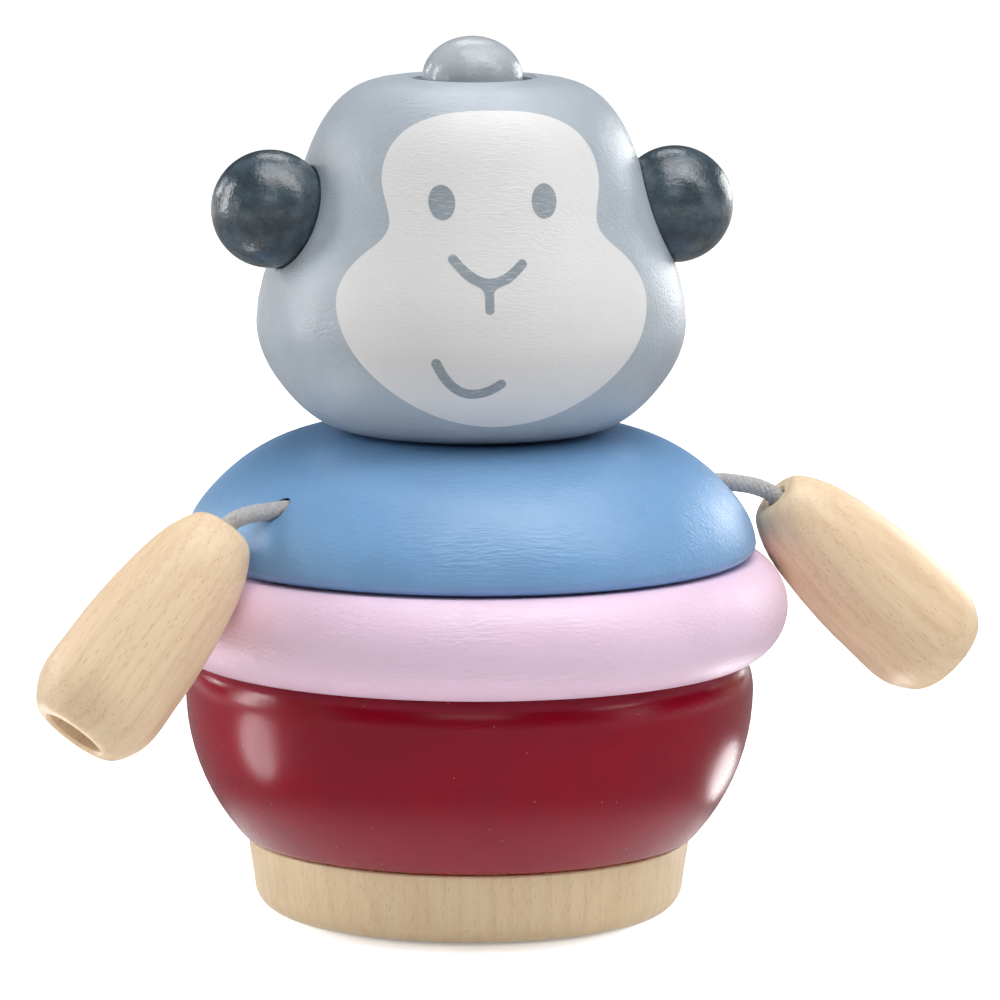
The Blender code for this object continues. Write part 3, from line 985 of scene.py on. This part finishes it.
@dataclass
class Face:
    """The painted face: a pale mask with grey eyes, nose and smile, each a thin coat on the head.

    Places are (across, height) on a plane in front of the head.
    """

    head: Head
    turn: float = 1.5
    mask_coat: float = 0.06
    line_coat: float = 0.11
    under: float = 0.2
    cell: float = 1.1
    half_mask: tuple[Station, ...] = (
        (0.0, 4.2, 0.0), (17.0, 10.0, 36.0), (26.2, 24.5, 90.0),
        (22.7, 31.9, 133.0), (17.4, 38.6, 90.0), (18.3, 44.6, 90.0),
        (13.0, 53.9, 150.0), (0.0, 56.4, 180.0),
    )
    eyes: tuple[Station, ...] = ((-9.0, 41.8), (8.1, 41.9))
    eye_half: Station = (2.15, 2.85)
    nose: tuple[Station, ...] = (
        (-1.15, 24.6, 90.0), (-1.15, 27.0, 90.0), (1.75, 29.05, 33.0),
        (4.35, 31.35, 45.0), (3.25, 32.45, 225.0), (1.0, 30.55, 213.0),
        (-1.8, 29.65, 180.0), (-4.3, 30.6, 147.0), (-7.0, 33.25, 130.0),
        (-8.2, 32.2, 310.0), (-5.3, 29.2, 325.0), (-2.65, 27.0, 270.0),
        (-2.65, 24.6, 270.0), (-1.15, 24.6, 450.0),
    )
    smile: tuple[Station, ...] = ((-10.7, 15.7, -64.0), (-4.5, 10.4, 0.0), (0.1, 12.2, 38.0))
    smile_width: float = 1.6

    def mask_line(self) -> list[Vector]:
        """The mask's closed outline, its right half mirrored."""
        half = traced(*self.half_mask)
        return half + [Vector((-point.x, point.y)) for point in half[-2:0:-1]]

    def eye_line(self, middle: Station) -> list[Vector]:
        """Draws an eye.

        Args:
            middle: The eye's middle.

        Returns:
            The closed outline of its upright oval.
        """
        line = []
        for turn in (math.tau * i / EYE_STEPS for i in range(EYE_STEPS)):
            across = middle[0] + self.eye_half[0] * math.cos(turn)
            line.append(Vector((across, middle[1] + self.eye_half[1] * math.sin(turn))) * MM)
        return line

    def smile_line(self) -> list[Vector]:
        """Draws the smile.

        Returns:
            The closed outline of its stroke, with round ends.
        """
        half = self.smile_width / 2
        there, back = [], []
        for across, height, heading in self.smile:
            way = math.radians(heading)
            aside = Vector((math.sin(way), -math.cos(way))) * half
            there.append((across + aside.x, height + aside.y, heading))
            back.append((across - aside.x, height - aside.y, heading + 180.0))
        return traced(*there, *reversed(back), (*there[0][:2], there[0][2] + 360.0))[:-1]

    def on_head(self, across: float, height: float, lift: float) -> Vector:
        """Carries a place of the plane back onto the head.

        Args:
            across: The place's distance from the middle, in metres.
            height: Its height above the head's foot, in metres.
            lift: How far it is lifted off the head along its normal, in metres.

        Returns:
            The place on the head.
        """
        radius, slope = self.head.ring_at(height)
        angle = math.asin(across / radius) + math.radians(self.turn)
        out = Vector((math.sin(angle), -math.cos(angle), 0.0))
        normal = out * math.cos(slope) + UP * math.sin(slope)
        return out * radius + UP * (self.head.level + height) + normal * lift

    def coat(self, name: str, line: list[Vector], lift: float, paint: Paint) -> None:
        """Builds a thin coat of paint: a closed shell that reaches a little way into the head.

        Args:
            name: The piece's name.
            line: The closed outline on the plane, in metres.
            lift: Height of the coat above the head.
            paint: The coat's paint.
        """
        flat = bmesh.new()
        flat.faces.new([flat.verts.new((point.x, point.y, 0.0)) for point in line])
        for axis, normal in enumerate((Vector((1.0, 0.0, 0.0)), Vector((0.0, 1.0, 0.0)))):
            low, high = (end(point[axis] for point in line) for end in (min, max))
            count = max(2, math.ceil((high - low) / (self.cell * MM)))
            for i in range(1, count):
                bmesh.ops.bisect_plane(
                    flat,
                    geom=flat.verts[:] + flat.edges[:] + flat.faces[:],
                    dist=SAME_PLACE / 10,
                    plane_co=normal * (low + (high - low) * i / count),
                    plane_no=normal,
                )
        bmesh.ops.remove_doubles(flat, verts=flat.verts, dist=2 * SAME_PLACE)
        for vert in flat.verts:
            vert.co = self.on_head(vert.co.x, vert.co.y, lift * MM)
        lower = bmesh.ops.extrude_face_region(flat, geom=flat.faces[:])["geom"]
        for vert in (part for part in lower if isinstance(part, bmesh.types.BMVert)):
            inward = Vector((vert.co.x, vert.co.y, 0.0)).normalized()
            vert.co -= inward * (lift + self.under) * MM
        bmesh.ops.recalc_face_normals(flat, faces=flat.faces)
        dress(name, flat, paint, "head")

    def build(self) -> None:
        """Paints the face."""
        self.coat("painted_mask", self.mask_line(), self.mask_coat, Finish.MASK)
        lines = {f"eye_{side.value}": self.eye_line(spot) for side, spot in zip(Side, self.eyes)}
        lines |= {"nose": traced(*self.nose)[:-1], "smile": self.smile_line()}
        for name, line in lines.items():
            self.coat(f"painted_{name}", line, self.line_coat, Finish.FEATURES)


@dataclass
class Hang:
    """How an arm hangs on its cord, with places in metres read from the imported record's joints."""

    side: Side
    arm_length: float = 43.4
    recess: float = 13.0

    def __post_init__(self) -> None:
        """Finds the cord's exit from the shoulders, its end at the arm, and the arm's own turn."""
        joints = {joint["name"]: joint for joint in frame["joints"]}
        swing, spin = (joints[f"{self.side.value}_arm_{motion}"] for motion in ("swing", "spin"))
        self.exit, self.end = Vector(swing["pos_m"]), Vector(spin["pos_m"])
        self.up = Vector(spin["axis"]).normalized()
        self.knot_top = self.end - self.up * (self.arm_length - self.recess) * MM
        across = UP.cross(self.up).normalized()
        self.turn = Matrix((across.cross(self.up), across, self.up)).transposed()


class Braid:
    """A round braid of flat strands along a line, half of them each way round, in metres."""

    PLACE = "strand_place"
    STRANDS = 16
    PITCH = 9.0 * MM
    RADIUS = 1.28 * MM
    WAVE = 0.07 * MM
    HALF_WIDTH = 0.45 * MM
    HALF_THICKNESS = 0.2 * MM
    STEP = 0.3 * MM
    CORNERS = 6
    PLACES_APART = 0.1

    def __init__(self, line: list[Vector], start_turn: Vector) -> None:
        """Lays frames that don't twist along a line, with the way ahead as their third column.

        Args:
            line: The points that the braid follows.
            start_turn: The direction of the braid's zero angle at its start.
        """
        self.spots = self.even(line)
        self.frames = []
        side, last = start_turn, len(self.spots) - 1
        for i in range(last + 1):
            ahead = (self.spots[min(i + 1, last)] - self.spots[max(i - 1, 0)]).normalized()
            side = (side - side.dot(ahead) * ahead).normalized()
            self.frames.append(Matrix((side, ahead.cross(side), ahead)).transposed())

    @classmethod
    def even(cls, line: list[Vector]) -> list[Vector]:
        """Evens out a line.

        Args:
            line: The line's points.

        Returns:
            Points along the same line, a step apart.
        """
        lengths = [(b - a).length for a, b in pairwise(line)]
        total = sum(lengths)
        count = max(2, round(total / cls.STEP))
        spots, run, i = [], 0.0, 0
        for k in range(count + 1):
            target = total * k / count
            while i < len(lengths) - 1 and run + lengths[i] < target:
                run += lengths[i]
                i += 1
            spots.append(line[i].lerp(line[i + 1], (target - run) / lengths[i]))
        return spots

    @staticmethod
    def next_ring(shape: Form, ring: list[bmesh.types.BMVert]) -> list[bmesh.types.BMVert]:
        """Extrudes the open end of a strand.

        Args:
            shape: The strand.
            ring: The corners of its open end, in order.

        Returns:
            The corners of its new end, in the same order.
        """
        edges = [shape.edges.get(pair) for pair in zip(ring, ring[1:] + ring[:1])]
        made = bmesh.ops.extrude_edge_only(shape, edges=edges)["geom"]
        partner = {}
        for vert in (part for part in made if isinstance(part, bmesh.types.BMVert)):
            for edge in vert.link_edges:
                partner[edge.other_vert(vert)] = vert
        return [partner[vert] for vert in ring]

    def strand(self, number: int) -> Form:
        """Makes one strand.

        Args:
            number: The strand's number. The second half goes the other way round.

        Returns:
            The strand, with its straightened place as an attribute.
        """
        half = self.STRANDS // 2
        way = 1 if number < half else -1
        phase = math.tau * (number % half) / half
        shape = bmesh.new()
        layer = shape.verts.layers.float_vector.new(self.PLACE)
        made = bmesh.ops.create_circle(shape, cap_ends=True, segments=self.CORNERS, radius=1.0)
        ring = made["verts"]
        template = [vert.co.copy() for vert in ring]
        run = 0.0
        for k, (spot, turn) in enumerate(zip(self.spots, self.frames)):
            if k:
                run += (spot - self.spots[k - 1]).length
                ring = self.next_ring(shape, ring)
            angle = way * math.tau * run / self.PITCH + phase
            reach = self.RADIUS + way * self.WAVE * math.cos(half * math.tau * run / self.PITCH)
            out = Vector((math.cos(angle), math.sin(angle), 0.0))
            around = Vector((-math.sin(angle), math.cos(angle), 0.0)) * way
            slope = math.atan2(math.tau * reach, self.PITCH)
            broad = around * math.cos(slope) - UP * math.sin(slope)
            for vert, corner in zip(ring, template):
                thick = out * (reach + corner.x * self.HALF_THICKNESS)
                vert.co = spot + turn @ (thick + broad * corner.y * self.HALF_WIDTH)
                along = run + number * self.PLACES_APART
                vert[layer] = Vector((along, corner.x * MM, corner.y * MM))
        bmesh.ops.contextual_create(shape, geom=ring)
        bmesh.ops.recalc_face_normals(shape, faces=shape.faces)
        return shape

    def shape(self) -> Form:
        """Lays all the strands.

        Returns:
            The whole braid.
        """
        whole = bmesh.new()
        whole.verts.layers.float_vector.new(self.PLACE)
        for number in range(self.STRANDS):
            strand, part = self.strand(number), bpy.data.meshes.new("strand")
            strand.to_mesh(part)
            strand.free()
            whole.from_mesh(part)
            bpy.data.meshes.remove(part)
        return whole


@dataclass
class Knot:
    """The overhand stopper knot in a hand's recess, an open trefoil with a short tail."""

    hang: Hang
    spread: float = 1.45
    depth: float = 1.3
    flatness: float = 0.8
    half_run: float = 2.05

    def line(self) -> list[Vector]:
        """Ties the knot.

        Returns:
            The points of its route, which starts under the cord.
        """
        points = []
        for i in range(KNOT_STEPS + 1):
            t = self.half_run * (2 * i / KNOT_STEPS - 1)
            across = (t**3 - 3 * t) * self.spread
            deep = (t**4 - 4 * t**2 + 2.0) * self.spread * self.flatness
            along = -(t**5 - 10 * t) / 4 * self.depth
            points.append(self.hang.turn @ Vector((across, deep, along)) * MM)
        return [self.hang.knot_top + point - points[0] for point in points]

    def build(self) -> Object:
        """Builds the knot.

        Returns:
            The braided piece.
        """
        side = self.hang.side.value
        shape = Braid(self.line(), self.hang.turn @ Vector((1.0, 0.0, 0.0))).shape()
        return dress(
            f"braided_knot_{side}", shape, Finish.YARN, f"{side}_raise", f"knot_{side}"
        )


@dataclass
class Cord:
    """The free cord of one arm, from the shoulders through the arm to its knot.

    The two bows are shares of the distance between its exit and the arm.
    """

    hang: Hang
    other: Hang
    diameter: float = 3.0
    start_bow: float = 0.28
    end_bow: float = 0.34
    droop: float = 11.0

    def line(self) -> list[Vector]:
        """Lays the cord's route.

        Returns:
            Its points, from the exit to the knot.
        """
        start, end = self.hang.exit, self.hang.end
        reach = (end - start).length
        out = (start - self.other.exit).normalized()
        down = (out - UP * math.tan(math.radians(self.droop))).normalized()
        first, second = down * reach * self.start_bow, self.hang.up * reach * self.end_bow
        free = cubic([start, start + first, end + second, end], CORD_STEPS)
        return free + straight(end, self.hang.knot_top)[1:]

    def build(self) -> None:
        """Builds the braid and its knot."""
        side, start, end = self.hang.side.value, self.hang.exit, self.hang.end
        line = self.line()
        braid = Braid(line, UP)
        name = f"braided_cord_{side}"
        piece = Shape.piece(name, braid.shape(), Finish.YARN.material())
        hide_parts(f"cord_{side}", f"cord_end_{side}")
        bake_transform(piece)
        Knot(self.hang).build()


@dataclass
class CordMiddle:
    """The cord inside the bore through the shoulders."""

    start: Hang
    end: Hang

    def build(self) -> None:
        """Builds the braid from exit to exit."""
        shape = Braid(straight(self.start.exit, self.end.exit), UP).shape()
        dress("braided_cord_middle", shape, Finish.YARN, "shoulders", "cord_middle")


@dataclass
class Arm:
    """A bored wooden arm with the knot's recess in its hand.

    Its outline counts from the end at the shoulders down, and its place in the plank is in metres.
    """

    hang: Hang
    stations: tuple[Station, ...] = (
        (6.6, -43.4, 10.0), (10.0, -39.8, 62.0), (11.0, -29.4, 90.0),
        (9.7, -13.3, 99.0), (6.9, -3.1, 118.0), (4.0, 0.0, 170.0),
    )
    recess_radius: float = 5.2
    bore: float = 1.9
    plank: tuple[float, float, float] = (0.013, 0.004, 0.05)

    def section(self) -> list[Vector]:
        """Draws the section of the arm.

        Returns:
            Its closed line, round the outside, the bore and the recess.
        """
        hand, recess = -self.hang.arm_length, self.recess_radius
        floor = self.hang.recess + hand
        inner = [(recess, hand + EDGE), (recess + EDGE, hand)]
        outer = [
            (self.bore + EDGE, 0.0),
            (self.bore, -EDGE),
            (self.bore, floor),
            (recess - EDGE, floor),
            (recess, floor - EDGE),
        ]
        first, last = ([Vector(spot) * MM for spot in part] for part in (inner, outer))
        return first + traced(*self.stations) + last

    def build(self) -> None:
        """Builds the arm on its axis."""
        side, turn = self.hang.side, self.hang.turn
        shape = Shape.turned(self.section(), ARM_STEPS, True)
        matrix = Matrix.Translation(self.hang.end) @ turn.to_4x4()
        bmesh.ops.transform(shape, matrix=matrix, verts=shape.verts)
        shift = Vector((self.plank[0] * side.sign, *self.plank[1:]))
        wood = replace(Finish.ARM, turn=turn.inverted(), shift=shift)
        dress(f"wooden_arm_{side.value}", shape, wood, f"{side.value}_arm", f"arm_{side.value}")


@dataclass(frozen=True)
class SoftBox:
    """A rectangular lamp that faces the game, or an oval card that shows in its gloss alone.

    Its lengths are in metres, and its power is in watts to a square metre at a glow of 1.
    """

    POWER = 4.0

    name: str
    azimuth: float
    elevation: float
    distance: float
    width: float
    height: float
    glow: float
    glossy_only: bool = False

    def build(self, aim: Vector, turn: float) -> None:
        """Hangs the lamp.

        Args:
            aim: The point that it faces.
            turn: Azimuth of the camera, from which the lamp's azimuth counts.
        """
        azimuth, elevation = math.radians(self.azimuth + turn), math.radians(self.elevation)
        level = Vector((math.sin(azimuth), -math.cos(azimuth), 0.0))
        out = level * math.cos(elevation) + UP * math.sin(elevation)
        data = bpy.data.lights.new(self.name, "AREA")
        data.shape = "ELLIPSE" if self.glossy_only else "RECTANGLE"
        data.size, data.size_y = self.width, self.height
        data.energy = self.glow * self.POWER * self.width * self.height
        lamp = placed(self.name, data)
        lamp.location = aim + out * self.distance
        lamp.rotation_euler = out.to_track_quat("Z", "Y").to_euler()
        lamp.visible_camera = False
        lamp.visible_diffuse = not self.glossy_only


class Studio:
    """The camera, the lamps, the floor and the surroundings.

    The camera's and the floor's own places are in metres, and the reaches are distances on the
    floor at which its white changes.
    """

    SENSOR = 36.0
    LENS = 255.07
    CLIP = (0.05, 50.0)
    STAND = (-0.1358, -1.1923, 0.255)
    CAMERA_TURN = -6.5
    PITCH = 8.748
    YAW = 0.24
    ROLL = -0.3
    AIM = Vector((0.0, 0.0, 0.07))
    FLOOR_HALF = 12.0
    FLOOR_WHITE = 0.92
    FLOOR_DIM = 0.15
    SURROUND = 0.025
    HORIZON = 0.35
    HORIZON_HEIGHTS = (0.03, 0.16)
    # The floor's painted shadow in front of the base: the glow left in it, its shift towards the
    # camera and its reach.
    PAINTED_SHADOW_GLOW = 0.25
    # The floor's painted reflection: its dim glow between the near and the mirror reaches.
    PAINTED_REFLECTION_DIM = 0.12
    PAINTED_SHADOW_SHIFT = 18.0
    PAINTED_SHADOW_REACH = (14.0, 40.0)
    NEAR_REACH = (44.0, 80.0)
    MIRROR_REACH = (300.0, 900.0)
    BOXES = (
        SoftBox("top_box", 0.0, 88.0, 0.9, 0.5, 0.5, 2.9),
        SoftBox("front_top_box", 0.0, 62.0, 0.9, 0.4, 0.4, 2.4),
        SoftBox("right_top_box", 60.0, 62.0, 0.9, 0.4, 0.4, 4.1),
        SoftBox("back_top_box", 180.0, 52.0, 0.9, 0.4, 0.3, 2.4),
        SoftBox("rear_top_box", 120.0, 62.0, 0.9, 0.4, 0.4, 1.65),
        SoftBox("front_box", 0.0, 30.0, 1.2, 0.6, 0.3, 1.1),
        SoftBox("right_box", 70.0, 38.0, 1.1, 0.35, 0.35, 2.8),
        SoftBox("low_right_box", 70.0, 12.0, 1.1, 0.35, 0.35, 0.85),
        SoftBox("low_left_box", -70.0, 12.0, 1.1, 0.35, 0.35, 1.7),
        SoftBox("left_side_strip", -98.0, 17.0, 0.6, 0.14, 0.37, 6.3),
        SoftBox("left_rear_box", -128.0, 17.0, 0.6, 0.08, 0.14, 6.6),
        SoftBox("right_rear_box", 130.0, 14.0, 0.6, 0.14, 0.22, 4.2),
        SoftBox("right_back_strip", 146.0, 9.0, 0.6, 0.07, 0.16, 9.0),
        SoftBox("left_card", -74.0, -30.0, 0.105, 0.026, 0.038, 3.2, glossy_only=True),
        SoftBox("right_card", 107.0, -40.0, 0.095, 0.028, 0.02, 2.9, glossy_only=True),
    )

    def camera(self) -> None:
        """Sets up the camera at the photographed angle."""
        data = bpy.data.cameras.new("camera")
        data.sensor_width, data.lens = self.SENSOR, self.LENS
        data.clip_start, data.clip_end = self.CLIP
        turn = Matrix.Rotation(math.radians(self.CAMERA_TURN - self.YAW), 3, "Z")
        tilt = Matrix.Rotation(math.radians(90.0 - self.PITCH), 3, "X")
        spin = Matrix.Rotation(math.radians(-self.ROLL), 3, "Z")
        made = placed("camera", data)
        made.rotation_euler = (turn @ tilt @ spin).to_euler()
        made.location = self.STAND
        bpy.context.scene.camera = made

    @staticmethod
    def seen(nodes: Tree) -> Socket:
        """Tells sight from light.

        Args:
            nodes: The tree that asks.

        Returns:
            1 for what is seen, straight, in a reflection or through glass, and 0 for light.
        """
        path = nodes.add("LightPath").outputs
        straight_or_mirrored = nodes.math("MAXIMUM", path["Is Camera Ray"], path["Is Glossy Ray"])
        return nodes.math("MAXIMUM", straight_or_mirrored, path["Is Transmission Ray"])

    def floor(self) -> None:
        """Lays a floor that shows white to the eye, but keeps the shadow close to the base, darkened
        there by a painted shadow where its glow is dimmed.

        In a reflection it glows white under the game and far off, and dim between: a painted
        reflection that no lamp casts.
        """
        shape = bmesh.new()
        bmesh.ops.create_grid(shape, x_segments=1, y_segments=1, size=self.FLOOR_HALF)
        nodes = Surface("pale_floor", roughness=0.9, specular=0.0)
        direct, seen = nodes.add("LightPath").outputs["Is Camera Ray"], self.seen(nodes)
        turn = (0.0, 0.0, -math.radians(self.CAMERA_TURN))
        level = nodes.add(
            "VectorRotate", {0: nodes.place(), "Rotation": turn}, rotation_type="EULER_XYZ"
        ).outputs[0]
        # Painted shadow: the floor's glow is dimmed near a point in front of the base, on top of its
        # real shadow.
        clear = nodes.away_from(level, self.PAINTED_SHADOW_SHIFT, self.PAINTED_SHADOW_REACH)
        # Painted reflection: in reflections the floor glows white near the game and far off, and dim
        # between.
        far = nodes.away_from(level, 0.0, self.MIRROR_REACH)
        near = nodes.math("SUBTRACT", 1.0, nodes.away_from(level, 0.0, self.NEAR_REACH))
        mirrored = nodes.ramp(nodes.math("MAXIMUM", far, near), 0.0, 1.0, self.PAINTED_REFLECTION_DIM)
        shown = nodes.ramp(clear, 0.0, 1.0, self.PAINTED_SHADOW_GLOW)
        glow = nodes.math("MULTIPLY", nodes.ramp(direct, 0.0, 1.0, mirrored, shown), seen)
        shine = nodes.add("CombineXYZ", {0: glow, 1: glow, 2: glow}).outputs[0]
        nodes.feed(nodes.shader["Emission Color"], shine)
        nodes.feed(nodes.shader["Emission Strength"], 1.0)
        # In reflections the floor's own colour is dim, so that its painted glow shows alone.
        pale, dim = rgba((self.FLOOR_WHITE,) * 3), rgba((self.FLOOR_DIM,) * 3)
        colour = nodes.mix(nodes.math("SUBTRACT", seen, direct), pale, dim)
        nodes.feed(nodes.shader["Base Color"], colour)
        Shape.piece("floor", shape, nodes.material)

    def surroundings(self) -> None:
        """Makes a dim room that fills the shadows, seen as a white backdrop.

        In a reflection it is dim too, and glows at the horizon.
        """
        world = bpy.data.worlds.new("studio")
        world.use_nodes = True
        bpy.context.scene.world = world
        nodes, back = Tree(world.node_tree), world.node_tree.nodes["Background"].inputs
        way = nodes.add("SeparateXYZ", {0: nodes.add("TexCoord").outputs["Generated"]})
        height = nodes.math("ABSOLUTE", way.outputs["Z"])
        mirrored = nodes.ramp(height, *self.HORIZON_HEIGHTS, self.HORIZON, self.SURROUND)
        direct = nodes.add("LightPath").outputs["Is Camera Ray"]
        shown = nodes.math("MAXIMUM", mirrored, direct)
        nodes.feed(back["Color"], WHITE)
        strength = nodes.ramp(self.seen(nodes), 0.0, 1.0, self.SURROUND, shown)
        nodes.feed(back["Strength"], strength)

    def build(self) -> None:
        """Builds the studio."""
        self.camera()
        for box in self.BOXES:
            box.build(self.AIM, self.CAMERA_TURN)
        self.floor()
        self.surroundings()
        bpy.context.scene.view_settings.view_transform = "Standard"


def stain_dowels() -> None:
    """Gives the ears' two hidden dowels, which keep their solids, bare wood."""
    wood = Finish.DOWEL.material()
    for side in Side:
        pin = frame["nodes"][f"ear_dowel_{side.value}"]
        pin.data.materials.clear()
        pin.data.materials.append(wood)
        LOG.info("%s keeps its solid", pin.name)


def main() -> None:
    """Builds the studio, then the cord and the arms, and then the game from its base up."""
    logging.basicConfig(level=logging.INFO, format="%(message)s")
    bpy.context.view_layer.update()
    Studio().build()
    left, right = (Hang(side) for side in Side)
    Cord(left, right).build()
    Cord(right, left).build()
    CordMiddle(left, right).build()
    for hang in (left, right):
        Arm(hang).build()
    Pedestal().build()
    for piece in (Bowl(), Ring(), Shoulders(exits=(left.exit, right.exit)), Head()):
        piece.build()
    stain_dowels()


if __name__ == "__main__":
    main()
